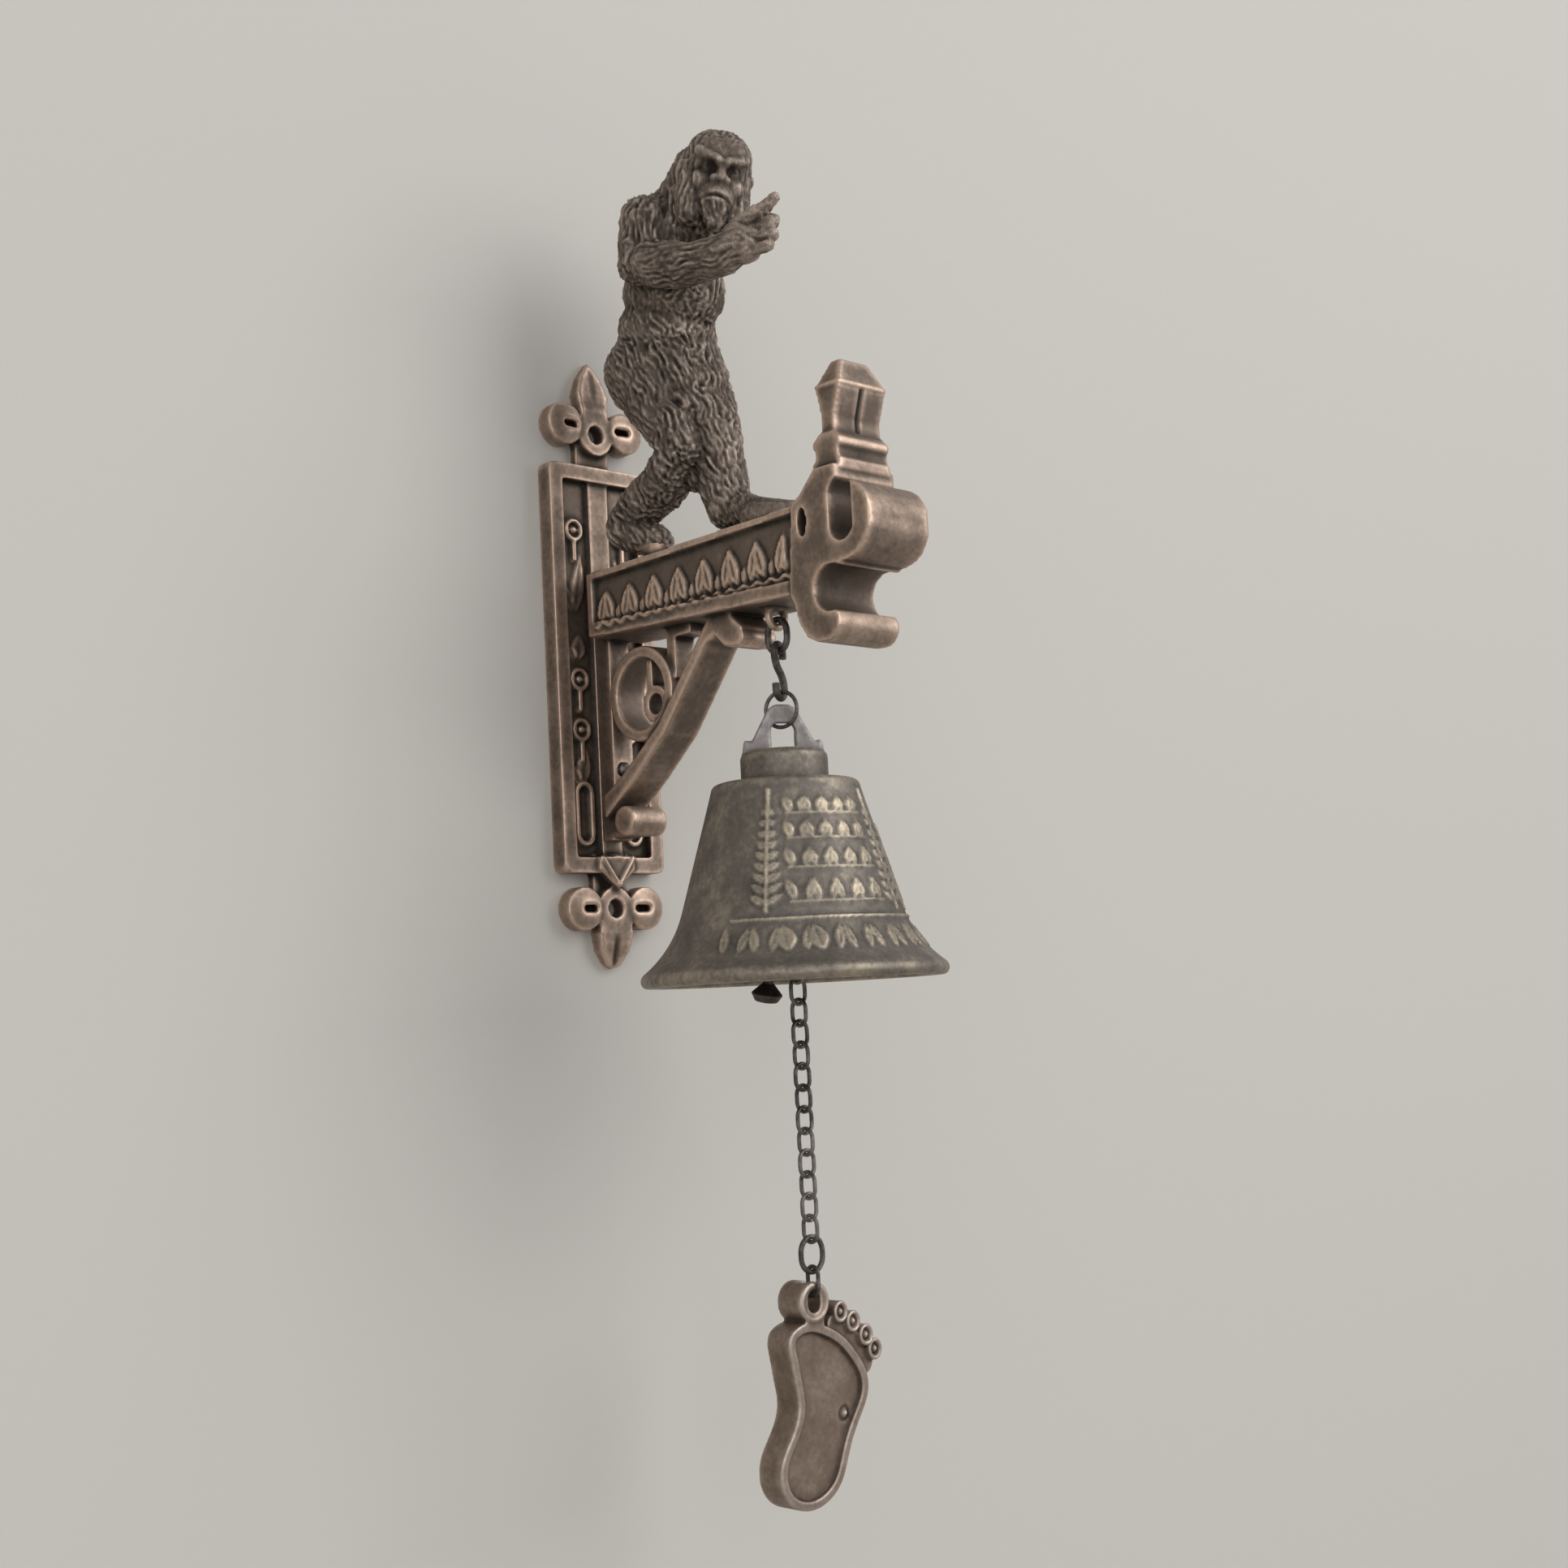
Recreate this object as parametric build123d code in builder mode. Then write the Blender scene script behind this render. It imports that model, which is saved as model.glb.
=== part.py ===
# Wall bell: a cast backplate and bracket with a shaggy standing figure, a bell hung on a link,
# an S hook and a ring, and a clapper rung by a chain with a foot-shaped pull.
# Frame: X runs right along the wall, Y runs into the wall, Z is up. The back of the plate lies at
# Y = 0, and the origin is midway between the two wall screw holes. Sizes are in millimetres.
from build123d import *
from math import atan2, cos, radians, sin
import os

os.makedirs("parts", exist_ok=True)

# Backplate
plate_width = 36.0
frame_height = 118.0
floor_thickness = 2.8
rim_thickness = 5.5
rim_width = 4.5
rib_half_width = 3.6
rib_thickness = 4.5
hole_reach = 10.0
hole_spacing = frame_height + 2 * hole_reach
wall_hole_radius = 2.6
lobe_radius = 6.2
lobe_offset = 11.0
crest_lobe_rise = 2.0
lobe_slot_offset = 9.6
lobe_slot_depth = 2.6
crest_thickness = 5.0
neck_half_width = 6.0
top_tip = 22.0
bottom_tip = 17.0
tip_thickness = 2.2
relief_height = 1.3
relief_offset = 9.6
leaf_half_width = 6.4
leaf_thickness = 6.6
leaf_drop = 4.5
leaf_tip = -frame_height / 2 - leaf_drop

# Bracket casting: arm, end piece, brace and ring scroll
seat_y = -rib_thickness
strap_depth = 4.5
strap_top = 28.0
strap_bottom = -50.0
arm_half_width = 10.0
arm_root_y = -10.0
arm_tip_y = -98.0
arm_root_low = 7.2
arm_root_high = 25.6
arm_tip_low = 4.6
arm_tip_high = 27.8
panel_depth = 1.4
panel_border = 2.6
end_half_width = 11.0
nose_centre = (-113.2, 20.0)
nose_radius = 9.2
nose_flat = 0.9
scoop_centre = (-107.8, 4.0)
scoop_radius = 6.0
toe_centre = (-105.6, -4.8)
toe_radius = 4.6
slot_low = 15.2
slot_high = 31.4
slot_y = (-116.4, -108.4)
web_hole = (-98.6, 22.4)
post_y = -107.4
post_half_width = 8.5
collar_half_width = 9.3
brace_half_width = 6.3
ring_half_width = 5.2
ring_centre = (-25.6, -10.6)
ring_outer = 13.4
ring_inner = 10.2
roll_centre = (-17.4, -45.4)
roll_radius = 4.2

# Fixing screws from behind the plate
screw_radius = 2.0
screw_head_radius = 3.9
screw_head_depth = 2.3
screw_length = 12.5
screw_clearance = 0.2
upper_screw_z = 16.0
lower_screw_z = -30.0

# Suspension, from the bracket's cast loop down to the bell
bell_y = -76.5
play = 0.12
loop_wire = 2.2
loop_radius = 2.9
loop_low_z = -0.1
hanger_wire = 1.8
hanger_width = 9.0
hanger_low_z = -6.6
hook_wire = 2.0
hook_radius = 2.4
hook_angle = 20.0
hook_low_z = -18.9
bell_ring_wire = 1.1
bell_ring_radius = 4.7
bell_ring_angle = -74.0

# Bell
mouth_radius = 40.0
mouth_drop = 66.6
shoulder_drop = 14.6
shoulder_radius = 19.6
waist_radius = 28.6
waist_drop = 47.6
bell_wall = 2.6
lip_height = 3.6
cap_radius = 11.5
cap_height = 8.2
lug_angle = -28.0
lug_thickness = 2.2
lug_half_width = 10.2
lug_web = 5.0
lug_eye = 3.3
crown_play = 0.5

# Clapper and the screw eye that carries it
eye_wire = 1.4
eye_radius = 2.4
eye_shank_radius = 1.2
eye_shank_length = 6.5
clapper_lean = 11.5
clapper_length = 47.5
rod_radius = 1.4
ball_radius = 4.8
ball_share = 0.74
flare_radius = 4.2
lug_wire = 1.2
lug_ring_radius = 1.75

# Pull chain, connector and pendant
chain_y = bell_y - 0.7
chain_top_z = -82.5
chain_links = 14
chain_pitch = 5.5
chain_wire = 1.1
chain_width = 6.0
connector_wire = 1.4
connector_width = 9.0
connector_length = 10.2
pendant_wire = 1.1
web_thickness = 2.0
web_play = 0.8
web_height = 2.0
toe_clearance = 1.6
great_toe_radius = 5.2
foot_offset = -0.8
sole_border = 2.3
notch_width = 3.8
pendant_thickness = 8.5
sole_recess = 1.2
toe_hole_radius = 2.2
toe_hole_height = 5.8


def upright(angle, x, y, z):
    """A vertical plane whose first axis is turned by angle from X and whose second axis is up."""
    a = radians(angle)
    return Plane(origin=(x, y, z), x_dir=(cos(a), sin(a), 0), z_dir=(sin(a), -cos(a), 0))


def side_plane(x):
    """The plane of the bracket's profile: first axis Y, second axis Z, drawn at distance x."""
    return Plane(origin=(x, 0, 0), x_dir=(0, 1, 0), z_dir=(1, 0, 0))


def front_plane(y):
    """The plane of the plate's outline: first axis X, second axis Z, facing out from the wall."""
    return Plane(origin=(0, y, 0), x_dir=(1, 0, 0), z_dir=(0, -1, 0))


def closed_link(plane, width, length, wire, label):
    """A welded wire link, straight along its sides, with its centre on the plane's origin."""
    half = (width - wire) / 2
    run = (length - width) / 2
    with BuildPart() as link:
        with BuildLine(plane) as path:
            first = Line((half, -run), (half, run))
            ThreePointArc((half, run), (0, run + half), (-half, run))
            Line((-half, run), (-half, -run))
            ThreePointArc((-half, -run), (0, -run - half), (half, -run))
        with BuildSketch(Plane(origin=first @ 0, z_dir=plane.y_dir)):
            Circle(wire / 2)
        sweep(path=path.wires()[0])
    link.part.label = label
    return link.part


# Backplate: framed field with a pierced crest above and a drop below
half_frame = frame_height / 2
hole_z = hole_spacing / 2
lobe_centres = [(-lobe_offset, hole_z + crest_lobe_rise), (lobe_offset, hole_z + crest_lobe_rise),
                (-lobe_offset, -hole_z), (lobe_offset, -hole_z)]
slot_shift = lobe_offset - lobe_slot_offset
with BuildPart() as backplate:
    with BuildSketch(front_plane(0)):
        RectangleRounded(plate_width, frame_height, 1.8)
        with Locations((0, hole_z), (0, -hole_z)):
            Circle(lobe_radius + 0.8)
        with Locations((0, half_frame + 3), (0, -half_frame - 3)):
            Rectangle(2 * neck_half_width, 10)
    extrude(amount=floor_thickness)
    with BuildSketch(front_plane(0)):
        with Locations(*lobe_centres):
            Circle(lobe_radius)
        with Locations((0, hole_z), (0, -hole_z)):
            Circle(lobe_radius)
        with BuildLine():
            Polyline((-4.6, hole_z + 3), (-5.0, hole_z + 8), (-5.6, hole_z + 12), (-3.6, hole_z + 17.5),
                     (0, hole_z + top_tip), (3.6, hole_z + 17.5), (5.6, hole_z + 12), (5.0, hole_z + 8),
                     (4.6, hole_z + 3), close=True)
        make_face()
        with BuildLine():
            Polyline((-5.4, -hole_z - 3), (-6.0, -hole_z - 7), (-5.0, -hole_z - 12), (-2.4, -hole_z - 16),
                     (0, -hole_z - bottom_tip), (2.4, -hole_z - 16), (5.0, -hole_z - 12),
                     (6.0, -hole_z - 7), (5.4, -hole_z - 3), close=True)
        make_face()
    extrude(amount=crest_thickness)
    with BuildSketch(front_plane(0)):
        RectangleRounded(plate_width, frame_height, 1.8)
        RectangleRounded(plate_width - 2 * rim_width, frame_height - 2 * rim_width, 1.2, mode=Mode.SUBTRACT)
    extrude(amount=rim_thickness)
    with BuildSketch(front_plane(0)):
        Rectangle(2 * rib_half_width, frame_height - rim_width)
    extrude(amount=rib_thickness)
    relief = front_plane(-floor_thickness)
    with BuildSketch(relief):
        with Locations((relief_offset - 0.8, -42), (-relief_offset + 0.8, -42)):
            SlotOverall(18.5, 6.6, rotation=90)
            SlotOverall(15.7, 3.8, rotation=90, mode=Mode.SUBTRACT)
    extrude(amount=relief_height)
    for side in (-1, 1):
        for curl_z in (-18.0, -3.5, 40.0):
            with BuildSketch(relief):
                with Locations((side * (relief_offset - 0.8), curl_z)):
                    Circle(3.3)
                    Circle(2.1, mode=Mode.SUBTRACT)
                with Locations((side * (relief_offset - 0.8), curl_z - 6)):
                    SlotOverall(7.0, 1.5, rotation=90)
                with Locations((side * (relief_offset - 0.8), curl_z)):
                    Circle(1.0)
            extrude(amount=relief_height)
    with BuildSketch(front_plane(0)):
        with BuildLine():
            Polyline((-leaf_half_width, rim_width - half_frame), (-leaf_half_width, -half_frame + 1),
                     (0, leaf_tip), (leaf_half_width, -half_frame + 1),
                     (leaf_half_width, rim_width - half_frame), close=True)
        make_face()
    extrude(amount=leaf_thickness)
    for start_z, end_z in ((hole_z + 7, hole_z + top_tip + 1), (-hole_z - 7, -hole_z - bottom_tip - 1)):
        with BuildSketch(side_plane(-plate_width / 2)):
            with BuildLine():
                Polyline((-crest_thickness, start_z), (-tip_thickness, end_z), (-crest_thickness - 1, end_z),
                         close=True)
            make_face()
        extrude(amount=plate_width, mode=Mode.SUBTRACT)
    front = front_plane(-crest_thickness)
    with BuildSketch(front):
        for lobe_x, lobe_z in lobe_centres:
            with Locations((lobe_x - slot_shift if lobe_x > 0 else lobe_x + slot_shift, lobe_z)):
                SlotOverall(5.6, 2.4)
    extrude(amount=-lobe_slot_depth, mode=Mode.SUBTRACT)
    with BuildSketch(front):
        for sign in (-1, 1):
            with Locations((0, sign * hole_z)):
                Circle(wall_hole_radius)
    extrude(amount=-crest_thickness, mode=Mode.SUBTRACT)
    with BuildSketch(front_plane(0)):
        for screw_z in (upper_screw_z, lower_screw_z):
            with Locations((0, screw_z)):
                Circle(screw_radius + screw_clearance)
    extrude(amount=rib_thickness, mode=Mode.SUBTRACT)
    for screw_z in (upper_screw_z, lower_screw_z):
        with Locations(Location((0, -screw_head_depth / 2, screw_z), (90, 0, 0))):
            Cone(screw_head_radius + screw_clearance, screw_radius + screw_clearance, screw_head_depth,
                 mode=Mode.SUBTRACT)
backplate.part.label = "backplate"
export_step(backplate.part, "parts/backplate.step")


# Bracket casting: one piece with a profile drawn from the side
def side_block(half_width, points):
    """A block of the casting, of one width along X, with straight edges through the points."""
    with BuildSketch(side_plane(-half_width)) as profile:
        with BuildLine():
            Polyline(*points, close=True)
        make_face()
    extrude(profile.sketch, amount=2 * half_width)


def side_disc(half_width, centre, radius, mode=Mode.ADD):
    """A round lobe, or a round hole, that runs across the casting."""
    with BuildSketch(side_plane(-half_width)) as profile:
        with Locations(centre):
            Circle(radius)
    extrude(profile.sketch, amount=2 * half_width, mode=mode)


def limb(start, end, start_radius, end_radius):
    """A rounded, tapering limb of the figure between two joints of its body."""
    spine = Vector(*end) - Vector(*start)
    with Locations(start):
        Sphere(start_radius)
    with Locations(end):
        Sphere(end_radius)
    frame = Plane(origin=Vector(*start) + spine * 0.5, z_dir=spine)
    with Locations(frame):
        Cone(start_radius, end_radius, spine.length)


strap_front = seat_y - strap_depth
with BuildPart() as bracket:
    side_block(rib_half_width, [(seat_y, strap_bottom), (seat_y, strap_top), (strap_front, strap_top),
                                (strap_front - 2, strap_top - 3), (strap_front - 2, strap_bottom + 3),
                                (strap_front, strap_bottom)])
    side_block(arm_half_width, [(arm_root_y, arm_root_low), (arm_root_y, arm_root_high),
                                (arm_tip_y, arm_tip_high), (arm_tip_y, arm_tip_low)])
    side_block(end_half_width, [(-95.0, arm_tip_high - 0.4), (-99.0, 30.0), (-103.6, 35.0), (-111.4, 35.0),
                                (-111.2, 28.6), nose_centre, (-117.5, 13.0), (-112.6, 10.6), scoop_centre,
                                (toe_centre[0], toe_centre[1] + toe_radius), toe_centre,
                                (toe_centre[0], toe_centre[1] - toe_radius), (-102.4, -9.2), (-98.6, -7.4),
                                (-96.0, -3.4), (-94.6, 1.6), (-93.0, arm_tip_low)])
    for rise in (-nose_flat, nose_flat):
        side_disc(end_half_width, (nose_centre[0], nose_centre[1] + rise), nose_radius)
    side_disc(end_half_width, toe_centre, toe_radius)
    side_disc(end_half_width, scoop_centre, scoop_radius, Mode.SUBTRACT)
    with BuildSketch(side_plane(-end_half_width)):
        with Locations(((slot_y[0] + slot_y[1]) / 2, (slot_low + slot_high) / 2)):
            SlotOverall(slot_high - slot_low, slot_y[1] - slot_y[0], rotation=90)
    extrude(amount=2 * end_half_width, mode=Mode.SUBTRACT)
    with BuildSketch(side_plane(-end_half_width)):
        with Locations(web_hole):
            Ellipse(1.5, 3.7)
    extrude(amount=2 * end_half_width, mode=Mode.SUBTRACT)
    side_block(collar_half_width, [(post_y + 5.4, 34.2), (post_y + 5.4, 36.6), (post_y + 4.2, 37.4),
                                   (post_y + 4.2, 39.8), (post_y + 5.0, 40.4), (post_y + 5.0, 42.0),
                                   (post_y + 2.6, 44.0), (post_y - 2.6, 44.0), (post_y - 4.4, 42.0),
                                   (post_y - 4.4, 40.4), (post_y - 3.6, 39.8), (post_y - 3.6, 37.4),
                                   (post_y - 4.4, 36.6), (post_y - 4.4, 34.2)])
    side_block(post_half_width, [(post_y + 2.4, 43.5), (post_y + 2.0, 48.0), (post_y + 3.7, 55.6),
                                 (post_y + 1.2, 63.4), (post_y - 2.4, 63.4), (post_y - 4.6, 57.4),
                                 (post_y - 4.6, 55.0), (post_y - 2.4, 48.0), (post_y - 2.4, 43.5)])
    with BuildSketch(front_plane(post_y + 6)):
        for side in (-1, 1):
            with BuildLine():
                Polyline((side * (post_half_width + 0.2), 56.4), (side * 4.6, 64.0),
                         (side * (post_half_width + 1), 64.0), close=True)
            make_face()
    extrude(amount=12, mode=Mode.SUBTRACT)
    for side in (-1, 1):
        outer = side * arm_half_width
        inner = side * (arm_half_width - panel_depth)
        with BuildSketch(side_plane(min(outer, inner))):
            with BuildLine():
                Polyline((arm_root_y - 2.2, arm_root_low + panel_border + 1.4),
                         (arm_root_y - 2.2, arm_root_high - panel_border + 0.6),
                         (-94.6, arm_tip_high - panel_border + 0.6),
                         (-94.6, arm_tip_low + panel_border + 1.4), close=True)
            make_face()
        extrude(amount=panel_depth, mode=Mode.SUBTRACT)
    side_block(brace_half_width, [(strap_front, -37.4), (-15.6, -33.8), (-33.6, -20.6), (-45.8, -6.4),
                                  (-52.4, 1.2), (-57.6, arm_root_low), (-62.6, arm_root_low), (-69.4, 1.0),
                                  (-67.4, -3.8), (-62.4, -3.4), (-58.6, 0.2), (-55.2, -0.8), (-48.8, -8.4),
                                  (-36.2, -23.2), (-23.0, -34.0), (-17.0, -38.4), (strap_front, -43.6)])
    side_disc(brace_half_width, (-67.2, -1.4), 2.6)
    side_disc(brace_half_width, roll_centre, roll_radius)
    side_block(rib_half_width, [(strap_front - 1, -49.4), (strap_front - 1, -41.4), roll_centre,
                                (roll_centre[0], roll_centre[1] - roll_radius)])
    with BuildSketch(side_plane(-ring_half_width)):
        with Locations(ring_centre):
            Circle(ring_outer)
            Circle(ring_inner, mode=Mode.SUBTRACT)
    extrude(amount=2 * ring_half_width)
    with BuildSketch(side_plane(-rib_half_width)):
        with Locations((ring_centre[0] - 4.4, ring_centre[1] - 3.4)):
            Circle(5.2)
            Circle(2.9, mode=Mode.SUBTRACT)
        with Locations((ring_centre[0] - 2.2, ring_centre[1] + 4.6)):
            Rectangle(2.4, 9.0)
    extrude(amount=2 * rib_half_width)
    side_block(rib_half_width, [(-38.0, 3.4), (-38.0, arm_root_low), (-46.0, arm_root_low), (-46.0, 3.4)])
    side_block(rib_half_width, [(-36.0, -8.0), (-36.0, arm_root_low), (-39.5, arm_root_low), (-39.5, -8.0)])
    with Locations(upright(0, 0, bell_y, loop_low_z + loop_radius)):
        Torus(loop_radius, loop_wire / 2)
    with Locations((0, bell_y, arm_tip_low + 0.8)):
        Box(2 * loop_radius, 3.4, 2.4)

    # The standing figure: a stride along the arm, one arm across its chest with the hand raised
    body_sections = [(64, -36, 9.0, 13.0), (76, -33.5, 12.5, 18.5), (94, -43, 13.5, 20.0),
                     (110, -44, 14.0, 19.0), (126, -43, 13.5, 15.5), (134, -40, 9.0, 9.5)]
    for level, centre_y, half_x, half_y in body_sections:
        with BuildSketch(Plane.XY.offset(level)):
            with Locations((0, centre_y)):
                Ellipse(half_x, half_y)
    loft()
    limb((2, -42, 80), (4, -48, 61), 12.0, 8.6)
    limb((4, -48, 61), (4, -54, 41), 8.4, 5.6)
    limb((4, -54, 41), (4, -55, 33), 5.5, 4.8)
    limb((4, -55, 31.4), (4, -79, 29.4), 5.2, 2.8)
    limb((-2, -31, 80), (-4, -41, 59), 12.5, 8.4)
    limb((-4, -41, 59), (-4, -22, 40), 8.2, 5.8)
    limb((-4, -22, 39), (-4, -35, 29), 5.6, 3.6)
    limb((0, -46, 118), (-1, -59, 127), 12.0, 11.0)
    limb((-1, -60, 126), (-1, -61, 130.4), 11.2, 11.0)
    limb((-12, -41, 126), (-13.5, -43, 106), 8.2, 7.4)
    limb((-13.5, -44, 104.5), (-10, -72, 103.5), 6.6, 4.8)
    limb((-9.8, -72, 104), (-8.6, -84, 106), 4.4, 4.2)
    limb((-8.6, -84, 107), (-8.2, -91.6, 113.4), 3.6, 1.8)
    limb((12, -42, 122), (14, -33, 105), 8.0, 6.4)
    limb((14, -33, 104), (14, -38, 88), 6.2, 4.4)

    with BuildSketch(front_plane(seat_y)):
        for screw_z in (upper_screw_z, lower_screw_z):
            with Locations((0, screw_z)):
                Circle(screw_radius)
    extrude(amount=screw_length - rib_thickness + 1.0, mode=Mode.SUBTRACT)
bracket.part.label = "bracket"
export_step(bracket.part, "parts/bracket.step")


# Fixing screws: countersunk, driven from behind, with a cross slot
def fixing_screw(screw_z, label):
    """A countersunk screw whose head lies flush in the back of the plate."""
    with BuildPart() as screw:
        with BuildSketch(side_plane(0)):
            with BuildLine():
                Polyline((0, screw_z), (0, screw_z + screw_head_radius),
                         (-screw_head_depth, screw_z + screw_radius - 0.05),
                         (-screw_length + 0.6, screw_z + screw_radius - 0.05),
                         (-screw_length, screw_z + screw_radius - 0.65), (-screw_length, screw_z),
                         close=True)
            make_face()
        revolve(axis=Axis((0, 0, screw_z), (0, 1, 0)))
        with Locations((0, -0.5, screw_z)):
            Box(4.6, 1.0, 0.9, mode=Mode.SUBTRACT)
            Box(0.9, 1.0, 4.6, mode=Mode.SUBTRACT)
    screw.part.label = label
    return screw.part


export_step(fixing_screw(upper_screw_z, "upper_fixing_screw"), "parts/upper_fixing_screw.step")
export_step(fixing_screw(lower_screw_z, "lower_fixing_screw"), "parts/lower_fixing_screw.step")

# Hanger link: hangs on the bracket's cast loop and stands in the plane of the arm
hanger_high_z = loop_low_z + (loop_wire + hanger_wire) / 2 + play
hanger_length = hanger_high_z - hanger_low_z + hanger_wire
hanger_plane = upright(90, 0, bell_y, (hanger_high_z + hanger_low_z) / 2)
hanger_link = closed_link(hanger_plane, hanger_width, hanger_length, hanger_wire, "hanger_link")
export_step(hanger_link, "parts/hanger_link.step")

# S hook: one bent wire, its top bight over the hanger link and its bottom bight under the ring
hook_high_z = hanger_low_z + (hanger_wire + hook_wire) / 2 + play
top_bight = hook_high_z - hook_radius
low_bight = hook_low_z + hook_radius
waist = (top_bight + low_bight) / 2
half_turn = top_bight - waist
turn_radius = (hook_radius ** 2 + half_turn ** 2) / (2 * hook_radius)
half_sweep = atan2(half_turn, turn_radius - hook_radius) / 2
turn_in = turn_radius - turn_radius * cos(half_sweep)
turn_down = turn_radius * sin(half_sweep)
bight_drop = 1.4
with BuildPart() as s_hook:
    with BuildLine(upright(hook_angle, 0, bell_y, 0)) as bend:
        tail = Line((hook_radius, top_bight - bight_drop), (hook_radius, top_bight))
        ThreePointArc((hook_radius, top_bight), (0, top_bight + hook_radius), (-hook_radius, top_bight))
        ThreePointArc((-hook_radius, top_bight), (turn_in - hook_radius, top_bight - turn_down),
                      (0, waist))
        ThreePointArc((0, waist), (hook_radius - turn_in, low_bight + turn_down),
                      (hook_radius, low_bight))
        ThreePointArc((hook_radius, low_bight), (0, low_bight - hook_radius), (-hook_radius, low_bight))
        Line((-hook_radius, low_bight), (-hook_radius, low_bight + bight_drop))
    with BuildSketch(Plane(origin=tail @ 0, z_dir=(0, 0, 1))):
        Circle(hook_wire / 2)
    sweep(path=bend.wires()[0])
s_hook.part.label = "s_hook"
export_step(s_hook.part, "parts/s_hook.step")

# Bell ring: a closed round ring through the S hook and the bell's crown
ring_high_z = hook_low_z + (hook_wire + bell_ring_wire) / 2 + play
ring_low_z = ring_high_z - 2 * bell_ring_radius
with BuildPart() as bell_ring:
    with Locations(upright(bell_ring_angle, 0, bell_y, ring_high_z - bell_ring_radius)):
        Torus(bell_ring_radius, bell_ring_wire / 2)
bell_ring.part.label = "bell_ring"
export_step(bell_ring.part, "parts/bell_ring.step")

# Bell: flared shell with a rolled lip, a flat-topped cap and a pierced three-cornered crown
shoulder_z = ring_low_z - shoulder_drop
mouth_z = ring_low_z - mouth_drop
waist_z = ring_low_z - waist_drop
cap_top_z = shoulder_z + cap_height
inner_top_z = shoulder_z - bell_wall - 0.6
lip_inside = mouth_radius - bell_wall - 1.2
crown_inside = shoulder_radius - bell_wall
with BuildPart() as bell:
    with BuildSketch(Plane(origin=(0, bell_y, 0), x_dir=(1, 0, 0), z_dir=(0, -1, 0))):
        with BuildLine():
            Line((0, cap_top_z), (cap_radius - 1.2, cap_top_z))
            Line((cap_radius - 1.2, cap_top_z), (cap_radius, cap_top_z - 1.4))
            Line((cap_radius, cap_top_z - 1.4), (cap_radius, shoulder_z))
            Line((cap_radius, shoulder_z), (shoulder_radius - 2.0, shoulder_z))
            ThreePointArc((shoulder_radius - 2.0, shoulder_z), (shoulder_radius - 0.6, shoulder_z - 0.6),
                          (shoulder_radius, shoulder_z - 2.0))
            side = Line((shoulder_radius, shoulder_z - 2.0), (waist_radius, waist_z))
            TangentArc((waist_radius, waist_z), (mouth_radius - 0.8, mouth_z + lip_height),
                       tangent=side % 1)
            ThreePointArc((mouth_radius - 0.8, mouth_z + lip_height),
                          (mouth_radius, mouth_z + lip_height / 2), (mouth_radius - 1.2, mouth_z))
            Line((mouth_radius - 1.2, mouth_z), (lip_inside, mouth_z))
            Line((lip_inside, mouth_z), (lip_inside - 0.4, mouth_z + lip_height - 1.4))
            TangentArc((waist_radius - bell_wall, waist_z),
                       (lip_inside - 0.4, mouth_z + lip_height - 1.4), tangent=side % 1)
            Line((waist_radius - bell_wall, waist_z), (crown_inside, inner_top_z - 2.0))
            Line((crown_inside, inner_top_z - 2.0), (crown_inside - 2.0, inner_top_z))
            Line((crown_inside - 2.0, inner_top_z), (0, inner_top_z))
            Line((0, inner_top_z), (0, cap_top_z))
        make_face()
    revolve(axis=Axis((0, bell_y, 0), (0, 0, 1)))
    hole_top_z = ring_low_z + bell_ring_wire / 2 + crown_play
    apex_z = hole_top_z + lug_web
    lug_plane = upright(lug_angle, 0, bell_y, 0).offset(-lug_thickness / 2)
    with BuildSketch(lug_plane):
        with BuildLine():
            Polyline((-lug_half_width, cap_top_z - 0.5), (-4.4, apex_z - 2.4), (-3.2, apex_z - 0.8),
                     (-1.8, apex_z), (1.8, apex_z), (3.2, apex_z - 0.8), (4.4, apex_z - 2.4),
                     (lug_half_width, cap_top_z - 0.5), close=True)
        make_face()
        with BuildLine():
            Polyline((-lug_eye, cap_top_z), (-lug_eye, hole_top_z - 1.6), (-lug_eye + 0.6, hole_top_z - 0.4),
                     (-lug_eye + 1.5, hole_top_z), (lug_eye - 1.5, hole_top_z),
                     (lug_eye - 0.6, hole_top_z - 0.4), (lug_eye, hole_top_z - 1.6),
                     (lug_eye, cap_top_z), close=True)
        make_face(mode=Mode.SUBTRACT)
    extrude(amount=lug_thickness)
    with Locations((0, bell_y, inner_top_z + (eye_shank_length - 0.5) / 2)):
        Cylinder(eye_shank_radius + 0.05, eye_shank_length - 0.5, mode=Mode.SUBTRACT)
bell.part.label = "bell"
export_step(bell.part, "parts/bell.step")

# Clapper eye: a screw eye driven up into the bell's cap from inside
eye_high_z = inner_top_z - eye_wire / 2 - 0.4
eye_low_z = eye_high_z - 2 * eye_radius
with BuildPart() as clapper_eye:
    with Locations(upright(0, 0, bell_y, eye_high_z - eye_radius)):
        Torus(eye_radius, eye_wire / 2)
    shank_top = inner_top_z + eye_shank_length - 1.0
    with Locations((0, bell_y, (shank_top + eye_high_z) / 2)):
        Cylinder(eye_shank_radius, shank_top - eye_high_z)
clapper_eye.part.label = "clapper_eye"
export_step(clapper_eye.part, "parts/clapper_eye.step")

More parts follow.
